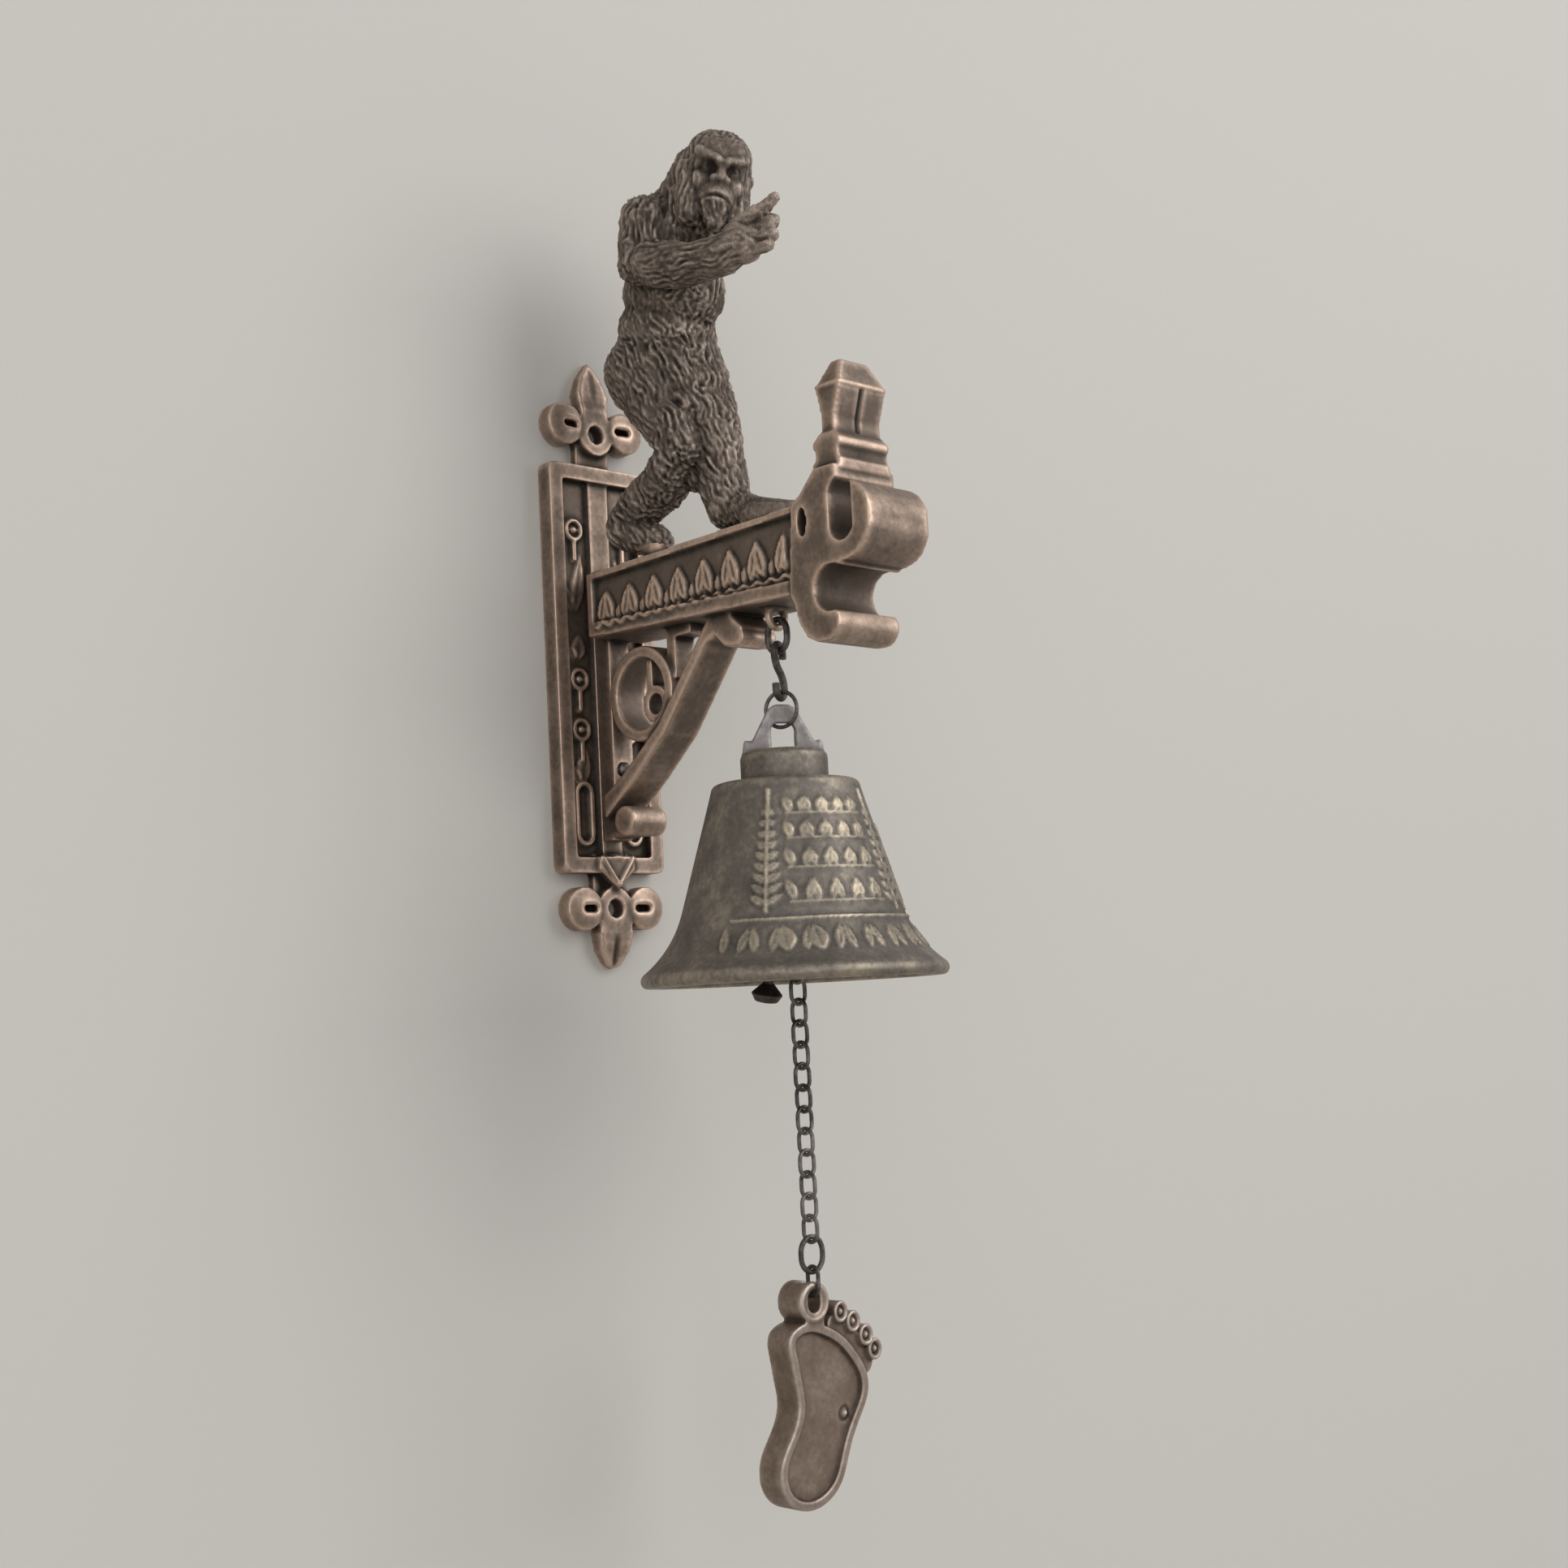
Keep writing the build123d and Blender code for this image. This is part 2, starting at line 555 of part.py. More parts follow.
# Clapper: eye, leaning rod, ball and flared tip, with a side loop that the pull chain hangs from
clapper_ring_z = eye_low_z + eye_wire + play - eye_radius
rod_top = Vector(0, bell_y, clapper_ring_z - eye_radius)
rod_end = Vector(0, bell_y + clapper_lean, eye_low_z - clapper_length)
rod_line = rod_end - rod_top
rod_plane = Plane(origin=rod_top, x_dir=(1, 0, 0), z_dir=rod_line)
chain_loop_z = chain_top_z + lug_ring_radius
strut_start = Vector(0, chain_y + lug_ring_radius, chain_loop_z)
strut_end = rod_top + rod_line * 0.58
with BuildPart() as clapper:
    with Locations(upright(90, 0, bell_y, clapper_ring_z)):
        Torus(eye_radius, eye_wire / 2)
    with BuildSketch(rod_plane):
        Circle(rod_radius)
    extrude(amount=rod_line.length)
    with Locations(rod_top + rod_line * ball_share):
        Sphere(ball_radius)
    with BuildSketch(rod_plane.offset(rod_line.length - 4.6)):
        Circle(rod_radius + 0.4)
    with BuildSketch(rod_plane.offset(rod_line.length - 2.0)):
        Circle(flare_radius)
    loft()
    with BuildSketch(rod_plane.offset(rod_line.length - 2.0)):
        Circle(flare_radius)
    with BuildSketch(rod_plane.offset(rod_line.length)):
        Circle(flare_radius - 1.2)
    loft()
    with Locations(upright(90, 0, chain_y, chain_loop_z)):
        Torus(lug_ring_radius, lug_wire / 2)
    with BuildSketch(Plane(origin=strut_start, x_dir=(1, 0, 0), z_dir=strut_end - strut_start)):
        Circle(lug_wire / 2 + 0.1)
    extrude(amount=(strut_end - strut_start).length)
clapper.part.label = "clapper"
export_step(clapper.part, "parts/clapper.step")

# Pull chain: welded links, each turned a quarter turn from the one it hangs on
first_rise = (lug_wire + chain_wire) / 2 + play
link_rise = chain_wire + play
pivot_z = chain_top_z
for index in range(chain_links):
    rise = first_rise if index == 0 else link_rise
    low_z = pivot_z - chain_pitch
    length = pivot_z + rise - low_z + chain_wire
    angle = 0 if index % 2 == 0 else 90
    name = f"chain_link_{index + 1:02d}"
    centre = upright(angle, 0, chain_y, (pivot_z + rise + low_z) / 2)
    export_step(closed_link(centre, chain_width, length, chain_wire, name), f"parts/{name}.step")
    pivot_z = low_z

# Connector: a heavier oval ring between the chain and the pendant's own link
connector_high_z = pivot_z + (chain_wire + connector_wire) / 2 + play
connector_low_z = connector_high_z - connector_length + connector_wire
connector_plane = upright(0, 0, chain_y, (connector_high_z + connector_low_z) / 2)
connector_ring = closed_link(connector_plane, connector_width, connector_length, connector_wire,
                             "connector_ring")
export_step(connector_ring, "parts/connector_ring.step")

# Pendant link: hangs on the connector and passes through the great toe
hang = Plane(origin=(0, chain_y, connector_low_z), x_dir=(1, 0, 0), z_dir=(0, -1, 0))
link_top = (connector_wire + pendant_wire) / 2 + play
web_top = -(connector_wire / 2 + toe_clearance)
web_low = web_top - web_height
link_low = web_low - pendant_wire / 2 - web_play
link_width = web_thickness + 2 * (pendant_wire + 0.3)
link_plane = Plane(origin=hang.from_local_coords((0, (link_top + link_low) / 2, 0)),
                   x_dir=hang.z_dir * -1, z_dir=hang.x_dir)
link_length = link_top - link_low + pendant_wire
pendant_link = closed_link(link_plane, link_width, link_length, pendant_wire, "pendant_link")
export_step(pendant_link, "parts/pendant_link.step")

# Foot pendant: sole with a rim, four small toes, and a great toe pierced for its link
sole_outline = [(-8.6, -13.8), (-3.6, -12.3), (4.2, -14.4), (9.4, -17.6), (13.5, -21.9), (16.6, -26.9),
                (17.2, -31.0), (14.6, -36.8), (11.2, -41.8), (8.6, -47.2), (5.4, -53.4), (0.4, -57.0),
                (-6.1, -58.0), (-12.0, -55.6), (-15.0, -50.8), (-14.6, -45.0), (-10.9, -39.2), (-8.0, -32.6),
                (-8.8, -26.2), (-9.8, -20.6), (-10.2, -16.4)]
small_toes = [(8.2, -10.9), (12.6, -13.9), (17.0, -17.9), (20.0, -21.9)]
toe_roots = [(7.4, -14.2), (11.4, -17.6), (15.0, -21.6), (17.0, -25.0)]


def inset(points, distance):
    """The same closed outline, drawn clockwise, with each point moved inwards by a distance."""
    moved = []
    for index, (x, y) in enumerate(points):
        before = points[index - 1]
        after = points[(index + 1) % len(points)]
        run_x = after[0] - before[0]
        run_y = after[1] - before[1]
        length = (run_x ** 2 + run_y ** 2) ** 0.5
        moved.append((x + run_y / length * distance, y - run_x / length * distance))
    return moved


great_toe = (foot_offset, web_top - great_toe_radius)
front_offset = web_thickness / 2
with BuildPart() as foot_pendant:
    with BuildSketch(hang.offset(front_offset)):
        with Locations(great_toe):
            Circle(great_toe_radius)
        with BuildLine():
            Spline(*sole_outline, periodic=True)
        make_face()
        with Locations((foot_offset, web_top - 2 * great_toe_radius)):
            Rectangle(6.4, 5.0)
    extrude(amount=-pendant_thickness)
    with BuildSketch(hang.offset(front_offset)):
        with Locations(*small_toes):
            Ellipse(2.3, 2.7)
    extrude(amount=-pendant_thickness + 1.5)
    with BuildSketch(hang.offset(front_offset - 1.0)):
        with Locations(*toe_roots):
            Circle(3.0)
    extrude(amount=-pendant_thickness + 2.5)
    with BuildSketch(hang.offset(front_offset)):
        with BuildLine():
            Spline(*inset(sole_outline, sole_border), periodic=True)
        make_face()
    extrude(amount=-sole_recess, mode=Mode.SUBTRACT)
    with BuildSketch(hang.offset(front_offset)):
        with Locations((foot_offset, web_low - toe_hole_height / 2)):
            SlotOverall(toe_hole_height, 2 * toe_hole_radius, rotation=90)
    extrude(amount=-pendant_thickness, mode=Mode.SUBTRACT)
    with BuildSketch(hang.offset(-front_offset)):
        with Locations((0, web_low + 0.4)):
            Rectangle(notch_width, 6.0)
    extrude(amount=-(pendant_wire + 0.3) * 2, mode=Mode.SUBTRACT)
foot_pendant.part.label = "foot_pendant"
export_step(foot_pendant.part, "parts/foot_pendant.step")
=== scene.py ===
import math

import bmesh
import bpy
import numpy as np
from mathutils import Matrix, Vector, noise


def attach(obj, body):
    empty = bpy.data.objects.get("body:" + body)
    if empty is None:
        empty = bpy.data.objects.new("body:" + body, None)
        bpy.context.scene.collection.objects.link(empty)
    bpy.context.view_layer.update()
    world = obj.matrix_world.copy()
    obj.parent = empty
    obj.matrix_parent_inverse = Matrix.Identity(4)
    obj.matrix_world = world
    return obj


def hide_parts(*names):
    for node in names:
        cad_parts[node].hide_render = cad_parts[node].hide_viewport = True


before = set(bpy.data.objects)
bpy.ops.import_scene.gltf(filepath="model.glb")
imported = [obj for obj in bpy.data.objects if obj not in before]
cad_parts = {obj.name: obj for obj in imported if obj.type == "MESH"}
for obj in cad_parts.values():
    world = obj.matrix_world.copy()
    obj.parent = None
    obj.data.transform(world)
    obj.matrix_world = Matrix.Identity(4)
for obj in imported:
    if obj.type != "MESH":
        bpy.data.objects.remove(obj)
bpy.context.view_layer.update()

# The view: the photograph looks at the bell from its left and a little from below, with the
# camera tilted a few degrees. All places are in the frame of the CAD model, in millimetres.
MM = 0.001
EYE = Vector((-381.3, -470.9, -101.2)) * MM
VIEW_AZIMUTH = math.radians(44.0)
VIEW_RISE = math.radians(6.2)
VIEW_TILT = math.radians(3.0)
LENS = 48.45

forward = Vector((math.sin(VIEW_AZIMUTH) * math.cos(VIEW_RISE), math.cos(VIEW_AZIMUTH) * math.cos(VIEW_RISE),
                  math.sin(VIEW_RISE)))
level = Vector((math.cos(VIEW_AZIMUTH), -math.sin(VIEW_AZIMUTH), 0.0))
upward = level.cross(forward)
right = level * math.cos(VIEW_TILT) - upward * math.sin(VIEW_TILT)
up = upward * math.cos(VIEW_TILT) + level * math.sin(VIEW_TILT)
camera_data = bpy.data.cameras.new("camera")
camera_data.lens = LENS
camera_data.sensor_width = 36.0
camera_data.clip_start = 0.01
camera = bpy.data.objects.new("camera", camera_data)
camera.matrix_world = Matrix((right, up, -forward)).transposed().to_4x4()
camera.location = EYE
bpy.context.scene.collection.objects.link(camera)
bpy.context.scene.camera = camera
bpy.context.scene.view_settings.view_transform = "Standard"


# The wall is a plain warm grey sheet behind the backplate, open to the eye from its back, and the
# floor lies far below the bell. Neither is part of the object.
def add(tree, kind, inputs=None, **settings):
    """A new node, with its settings and with its inputs given as values or as other nodes' sockets."""
    made = tree.nodes.new(kind)
    for name, value in settings.items():
        setattr(made, name, value)
    for name, value in (inputs or {}).items():
        if isinstance(value, bpy.types.NodeSocket):
            tree.links.new(value, made.inputs[name])
        else:
            made.inputs[name].default_value = value
    return made


def new_material(name):
    """An empty node material and its output node."""
    material = bpy.data.materials.new(name)
    material.use_nodes = True
    material.node_tree.nodes.clear()
    return material, material.node_tree, material.node_tree.nodes.new("ShaderNodeOutputMaterial")


def plain_sheet(name, corners, material):
    """One flat face for the wall or the floor."""
    mesh = bpy.data.meshes.new(name)
    mesh.from_pydata(corners, [], [range(len(corners))])
    mesh.materials.append(material)
    sheet = bpy.data.objects.new(name, mesh)
    bpy.context.scene.collection.objects.link(sheet)


WALL_COLOUR = (0.575, 0.546, 0.503, 1.0)
FLOOR_COLOUR = (0.55, 0.53, 0.50, 1.0)
WALL_REACH = 3.0
FLOOR_DROP = -1.1

wall_paint, tree, output = new_material("wall_paint")
plaster = add(tree, "ShaderNodeTexNoise", {"Scale": 260.0, "Detail": 4.0,
              "Vector": add(tree, "ShaderNodeTexCoord").outputs["Object"]})
dimples = add(tree, "ShaderNodeBump", {"Height": plaster.outputs[0], "Strength": 0.08, "Distance": 0.0006})
paint = add(tree, "ShaderNodeBsdfPrincipled", {"Base Color": WALL_COLOUR, "Roughness": 0.75,
            "Normal": dimples.outputs[0]})
see_through = add(tree, "ShaderNodeBsdfTransparent")
facing = add(tree, "ShaderNodeNewGeometry").outputs["Backfacing"]
mixed = add(tree, "ShaderNodeMixShader", {0: facing, 1: paint.outputs[0], 2: see_through.outputs[0]})
tree.links.new(mixed.outputs[0], output.inputs["Surface"])
plain_sheet("wall", [(-WALL_REACH, 0, FLOOR_DROP), (WALL_REACH, 0, FLOOR_DROP),
                     (WALL_REACH, 0, WALL_REACH), (-WALL_REACH, 0, WALL_REACH)], wall_paint)

floor_paint, tree, output = new_material("floor_paint")
paint = add(tree, "ShaderNodeBsdfPrincipled", {"Base Color": FLOOR_COLOUR, "Roughness": 0.7})
tree.links.new(paint.outputs[0], output.inputs["Surface"])
plain_sheet("floor", [(-WALL_REACH, -WALL_REACH, FLOOR_DROP), (WALL_REACH, -WALL_REACH, FLOOR_DROP),
                      (WALL_REACH, WALL_REACH, FLOOR_DROP), (-WALL_REACH, WALL_REACH, FLOOR_DROP)],
            floor_paint)


# Light: a broad soft window to the right of the bell, a weak fill from the left, and a pale room.
def soft_light(name, place, target, size, watts):
    """A square area light that looks from its place to its target."""
    data = bpy.data.lights.new(name, "AREA")
    data.size = size
    data.energy = watts
    lamp = bpy.data.objects.new(name, data)
    lamp.location = place
    lamp.rotation_mode = "QUATERNION"
    lamp.rotation_quaternion = (Vector(target) - Vector(place)).to_track_quat("-Z", "Y")
    bpy.context.scene.collection.objects.link(lamp)


ROOM_COLOUR = (0.93, 0.96, 1.0, 1.0)
ROOM_STRENGTH = 0.49
soft_light("window", (0.95, -2.0, 1.0), (0.0, -0.05, -0.02), 2.2, 34.0)
soft_light("fill", (-1.4, -1.5, 0.4), (0.0, -0.05, 0.0), 1.8, 10.0)
world = bpy.data.worlds.new("room")
world.use_nodes = True
world.node_tree.nodes["Background"].inputs["Color"].default_value = ROOM_COLOUR
world.node_tree.nodes["Background"].inputs["Strength"].default_value = ROOM_STRENGTH
bpy.context.scene.world = world


# Backplate: one flat casting with a raised rim round a sunk field, scrolled relief, a pierced crest
# above and a drop below. It is plated in antique copper, dark with patina in its hollows and rubbed bright
# on its edges; painted shade darkens its large hollows further and painted light brightens its lobes.
# Two countersunk screws from behind hold the bracket to it.
def placed(mesh, name):
    """A new object for a mesh, at the origin."""
    piece = bpy.data.objects.new(name, mesh)
    bpy.context.scene.collection.objects.link(piece)
    return piece


JOIN_DISTANCE = 2e-6


def merged_copy(node, name):
    """A copy of a CAD node's mesh with its loose triangles joined."""
    work = bmesh.new()
    work.from_mesh(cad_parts[node].data)
    bmesh.ops.remove_doubles(work, verts=work.verts, dist=JOIN_DISTANCE)
    mesh = bpy.data.meshes.new(name)
    work.to_mesh(mesh)
    work.free()
    return placed(mesh, name)


def settled(piece):
    """Turns a piece's modifiers into its plain mesh."""
    view = bpy.context.evaluated_depsgraph_get()
    view.update()
    mesh = bpy.data.meshes.new_from_object(piece.evaluated_get(view))
    piece.modifiers.clear()
    piece.data = mesh
    return piece


def recast(piece, grain, rounds):
    """Melts a piece into one skin with soft corners. grain is the size of its faces in
    millimetres, and rounds how often it is smoothed."""
    remesh = piece.modifiers.new("remesh", "REMESH")
    remesh.mode = "VOXEL"
    remesh.voxel_size = grain * MM
    remesh.use_smooth_shade = True
    smooth = piece.modifiers.new("smooth", "SMOOTH")
    smooth.factor = 0.5
    smooth.iterations = rounds
    return settled(piece)


def points_of(mesh):
    """A mesh's places and normals as two arrays."""
    places = np.empty(len(mesh.vertices) * 3)
    mesh.vertices.foreach_get("co", places)
    normals = np.empty(len(mesh.vertices) * 3)
    mesh.vertices.foreach_get("normal", normals)
    return places.reshape(-1, 3), normals.reshape(-1, 3)


def spread(mesh, values, rounds):
    """Averages an array of values over each point's neighbours, a number of times."""
    ends = np.empty(len(mesh.edges) * 2, int)
    mesh.edges.foreach_get("vertices", ends)
    first, second = ends.reshape(-1, 2).T
    count = len(mesh.vertices)
    share = np.bincount(first, minlength=count) + np.bincount(second, minlength=count) + 1.0
    for _ in range(rounds):
        total = values.copy()
        for column in range(values.shape[1]):
            total[:, column] += np.bincount(first, values[second, column], count)
            total[:, column] += np.bincount(second, values[first, column], count)
        values = total / share[:, None]
    return values


# Reach and depth of the painted shade and light over large forms.
SHADE_AND_LIGHT_REACH = 60  # faces
SHADE_AND_LIGHT_DEPTH = 0.7  # millimetres


def mark_wear_and_shade(piece, reach, depth, raised=0.0, painted_shade_and_light=0.0):
    """Stores on each point how far it stands out, as edge, and lies back, as hollow, from 0 to 1.
    reach is the number of faces over which it is judged, and depth the height in mm that counts as 1.
    raised is a further share of edge, for relief that is rubbed bright all over, or of hollow if negative.
    broad is the share of the same measure over large forms: painted shade that darkens deep scoops and
    painted light that brightens the lobes. The rest is dark patina in the hollows and wear on the edges."""
    mesh = piece.data
    places, normals = points_of(mesh)
    lifted = np.einsum("ij,ij->i", places - spread(mesh, places, reach), normals) / (depth * MM)
    lifted = spread(mesh, lifted[:, None], 1)[:, 0]
    # Painted shade in the large hollows and painted light on the large bulges.
    if painted_shade_and_light:
        bulge = np.einsum("ij,ij->i", places - spread(mesh, places, SHADE_AND_LIGHT_REACH), normals)
        lifted = lifted + painted_shade_and_light * np.clip(bulge / (SHADE_AND_LIGHT_DEPTH * MM), -1.0, 1.0)
    for name, values in (("edge", lifted + raised), ("hollow", -lifted - raised)):
        layer = mesh.attributes.new(name, "FLOAT", "POINT")
        layer.data.foreach_set("value", np.clip(values, 0.0, 1.0).astype(np.float32))


def emboss(piece, height):
    """Moves each point of a piece along its normal by a height in millimetres."""
    places, normals = points_of(piece.data)
    moved = places + normals * (height * MM)[:, None]
    piece.data.vertices.foreach_set("co", moved.astype(np.float32).ravel())
    piece.data.update()


def leaf(u, v, foot_u, foot_v, turn, length, width):
    """Height from 0 to 1 of a pointed leaf with a sunk rib, over places u and v in millimetres. It grows
    from its foot, turned from +v towards +u by an angle in degrees."""
    swing = math.radians(turn)
    along = ((u - foot_u) * math.sin(swing) + (v - foot_v) * math.cos(swing)) / length
    across = (u - foot_u) * math.cos(swing) - (v - foot_v) * math.sin(swing)
    half = 0.5 * width * np.sin(np.pi * np.clip(along, 0.0, 1.0) ** 0.8)
    rib = 0.45 * np.exp(-(across / 0.3) ** 2)
    return np.clip((half - np.abs(across)) / 0.35, 0.0, 1.0) * (1.0 - rib)


BAR_SOFTNESS = 0.4


def bar(u, v, start, end, half_width):
    """Height from 0 to 1 of a straight raised line between two places."""
    run = (end[0] - start[0], end[1] - start[1])
    share = ((u - start[0]) * run[0] + (v - start[1]) * run[1]) / (run[0] ** 2 + run[1] ** 2)
    share = np.clip(share, 0.0, 1.0)
    away = np.hypot(u - start[0] - share * run[0], v - start[1] - share * run[1])
    return np.clip((half_width + BAR_SOFTNESS - away) / BAR_SOFTNESS, 0.0, 1.0)


def aged_metal_group():
    """Patina of a plated casting: where it is dark, plain or rubbed bright, how rough it is, and its
    fine grain. Its dark and bright also carry the painted shade and light that the stored hollow and edge
    hold over large forms. Its outputs are a colour, a roughness and a height."""
    tree = bpy.data.node_groups.new("aged_metal", "ShaderNodeTree")
    for name, kind in (("Vector", "Vector"), ("Edge", "Float"), ("Hollow", "Float"), ("Dark", "Color"),
                       ("Body", "Color"), ("Bright", "Color"), ("Wear", "Float"), ("Mottle", "Float")):
        tree.interface.new_socket(name, in_out="INPUT", socket_type="NodeSocket" + kind)
    for name, kind in (("Color", "Color"), ("Roughness", "Float"), ("Height", "Float")):
        tree.interface.new_socket(name, in_out="OUTPUT", socket_type="NodeSocket" + kind)
    given = tree.nodes.new("NodeGroupInput").outputs
    result = tree.nodes.new("NodeGroupOutput").inputs

    def maths(operation, first, second, clamp=False):
        made = add(tree, "ShaderNodeMath", {0: first, 1: second}, operation=operation, use_clamp=clamp)
        return made.outputs[0]

    def blend(share, first, second):
        mix = add(tree, "ShaderNodeMix", {0: share, 6: first, 7: second}, data_type="RGBA")
        return mix.outputs[2]

    def texture(scale, detail, roughness):
        return add(tree, "ShaderNodeTexNoise", {"Vector": given["Vector"], "Scale": scale, "Detail": detail,
                                                "Roughness": roughness}).outputs[0]

    clouds = texture(110.0, 5.0, 0.6)
    flecks = texture(620.0, 4.0, 0.65)
    grain = texture(900.0, 3.0, 0.6)
    patchy = maths("SUBTRACT", maths("ADD", clouds, maths("MULTIPLY", flecks, 0.6)), 0.8)
    # Edge holds rubbed wear and, on large bulges, painted light; Hollow holds patina and, in large hollows,
    # painted shade.
    rubbed = maths("MULTIPLY", given["Edge"], maths("ADD", 0.55, maths("MULTIPLY", flecks, 0.9)))
    rubbed = maths("MULTIPLY", rubbed, given["Wear"])
    tone = maths("ADD", 0.5, maths("MULTIPLY", patchy, given["Mottle"]))
    tone = maths("ADD", tone, maths("MULTIPLY", rubbed, 0.5))
    tone = maths("SUBTRACT", tone, maths("MULTIPLY", given["Hollow"], 0.55), clamp=True)
    low = add(tree, "ShaderNodeMapRange", {0: tone, 1: 0.0, 2: 0.5}).outputs[0]
    high = add(tree, "ShaderNodeMapRange", {0: tone, 1: 0.5, 2: 1.0}).outputs[0]
    shaded = blend(low, given["Dark"], given["Body"])
    tree.links.new(blend(high, shaded, given["Bright"]), result["Color"])
    rough = maths("ADD", 0.62, maths("MULTIPLY", tone, -0.26))
    tree.links.new(maths("ADD", rough, maths("MULTIPLY", grain, 0.12)), result["Roughness"])
    height = maths("ADD", maths("MULTIPLY", grain, 0.6), maths("MULTIPLY", flecks, 0.4))
    tree.links.new(height, result["Height"])
    return tree


AGED_METAL = aged_metal_group()


def aged_metal(name, dark, body, bright, wear=1.0, mottle=0.5, metallic=0.85, grain_depth=0.06,
               extra_height=None):
    """A worn metal's material, dark on the stored hollow and bright on the stored edge, which hold patina and
    wear and, over large forms, painted shade and light. Colours are red, green and blue; grain_depth is in
    millimetres. extra_height, if given, builds a further height from the tree and the object's place."""
    material, tree, output = new_material(name)
    place = add(tree, "ShaderNodeTexCoord").outputs["Object"]
    aged = add(tree, "ShaderNodeGroup", node_tree=AGED_METAL)
    aged.inputs["Dark"].default_value = (*dark, 1.0)
    aged.inputs["Body"].default_value = (*body, 1.0)
    aged.inputs["Bright"].default_value = (*bright, 1.0)
    aged.inputs["Wear"].default_value = wear
    aged.inputs["Mottle"].default_value = mottle
    tree.links.new(place, aged.inputs["Vector"])
    for socket, layer in (("Edge", "edge"), ("Hollow", "hollow")):
        stored = add(tree, "ShaderNodeAttribute", attribute_name=layer)
        tree.links.new(stored.outputs["Fac"], aged.inputs[socket])
    normal = add(tree, "ShaderNodeBump", {"Height": aged.outputs["Height"], "Strength": 0.6,
                                          "Distance": grain_depth * MM}).outputs[0]
    if extra_height:
        height, distance = extra_height(tree, place)
        normal = add(tree, "ShaderNodeBump", {"Height": height, "Strength": 1.0, "Distance": distance * MM,
                                              "Normal": normal}).outputs[0]
    metal = add(tree, "ShaderNodeBsdfPrincipled", {"Base Color": aged.outputs["Color"], "Metallic": metallic,
                                                   "Roughness": aged.outputs["Roughness"], "Normal": normal})
    tree.links.new(metal.outputs[0], output.inputs["Surface"])
    return material


def finish_piece(piece, material, body, slot, *nodes):
    """Gives a finished piece its material and body, and hides the CAD nodes it stands for. slot is not used.
    """
    piece.data.materials.clear()
    piece.data.materials.append(material)
    for face in piece.data.polygons:
        face.use_smooth = True
    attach(piece, body)
    if nodes:
        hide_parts(*nodes)


COPPER_DARK = (0.038, 0.032, 0.026)
COPPER_BODY = (0.180, 0.137, 0.108)
COPPER_BRIGHT = (0.60, 0.44, 0.34)
copper = aged_metal("antique_copper", COPPER_DARK, COPPER_BODY, COPPER_BRIGHT)

# Middles (x, z) and radius of the round lobes; where each tip starts, its way and its groove; the low and
# high ends of the leaves in the sunk field, and how far forward the field reaches.
CREST_LOBES = ((-11, 71), (11, 71), (-11, -69), (11, -69))
LOBE_RADIUS = 6.2
TIPS = ((78, 1, 0.5), (-76, -1, 1.2))
FIELD_LEAVES = ((-34, -22), (2, 10), (16, 34))
FIELD_FRONT = -3.4
backplate = recast(merged_copy("backplate", "cast_backplate"), grain=0.5, rounds=3)
places, normals = points_of(backplate.data)
x, y, z = (places / MM).T
front = np.clip(-normals[:, 1], 0.0, 1.0)
height = np.zeros(len(x))
for lobe_x, lobe_z in CREST_LOBES:
    away = np.hypot(x - lobe_x, z - lobe_z)
    height += 1.1 * np.clip(1.0 - (away / LOBE_RADIUS) ** 2, 0.0, 1.0) * (y < -3.0)
for tip_z, way, groove in TIPS:
    beyond = np.clip((z - tip_z) * way / 3.0, 0.0, 1.0)
    height += beyond * (1.0 - groove * np.exp(-(x / 0.9) ** 2)) * 0.5
for side in (-1, 1):
    height += 0.7 * bar(x * side, z, (6.0, -54.0), (0.0, -62.4), 0.35)
    height += 0.5 * bar(x * side, z, (5.0, -54.2), (-1.0, -54.2), 0.3)
    for low, high in FIELD_LEAVES:
        in_field = y > FIELD_FRONT
        height += 0.5 * leaf(x * side, z, 8.8, low, -8, high - low, 5.0) * in_field
        height += 0.4 * leaf(x * side, z, 9.6, low, 24, 0.6 * (high - low), 3.4) * in_field
emboss(backplate, height * front)
# Besides patina and wear, the last share is painted shade in the large hollows and painted light on the large
# bulges.
mark_wear_and_shade(backplate, reach=6, depth=0.22, painted_shade_and_light=0.3)
finish_piece(backplate, copper, "mounting", "casting", "backplate")


# Bracket: strap, arm, scrolled end piece, brace and ring scroll, cast in one. The figure on its arm
# belongs to the same casting and is shaped in the next section.
ARM_TOP = 30.0
FIGURE_BACK = -13.0
FIGURE_FRONT = -95.0
PANEL_BACK = -13.0
PANEL_FRONT = -93.5
PANEL_LOW = 8.6
PANEL_HIGH = 24.6
PANEL_SIDE = 8.2
LEAF_COUNT = 15
LEAF_SPACING = 5.2
GROOVE_LOW = 44.5
GROOVE_HIGH = 55.5
RIDGE_Z = 56.4


def bare_bracket(place):
    """True below the arm's top, and beside the figure."""
    y = place.y / MM
    return place.z / MM < ARM_TOP or not FIGURE_FRONT < y < FIGURE_BACK


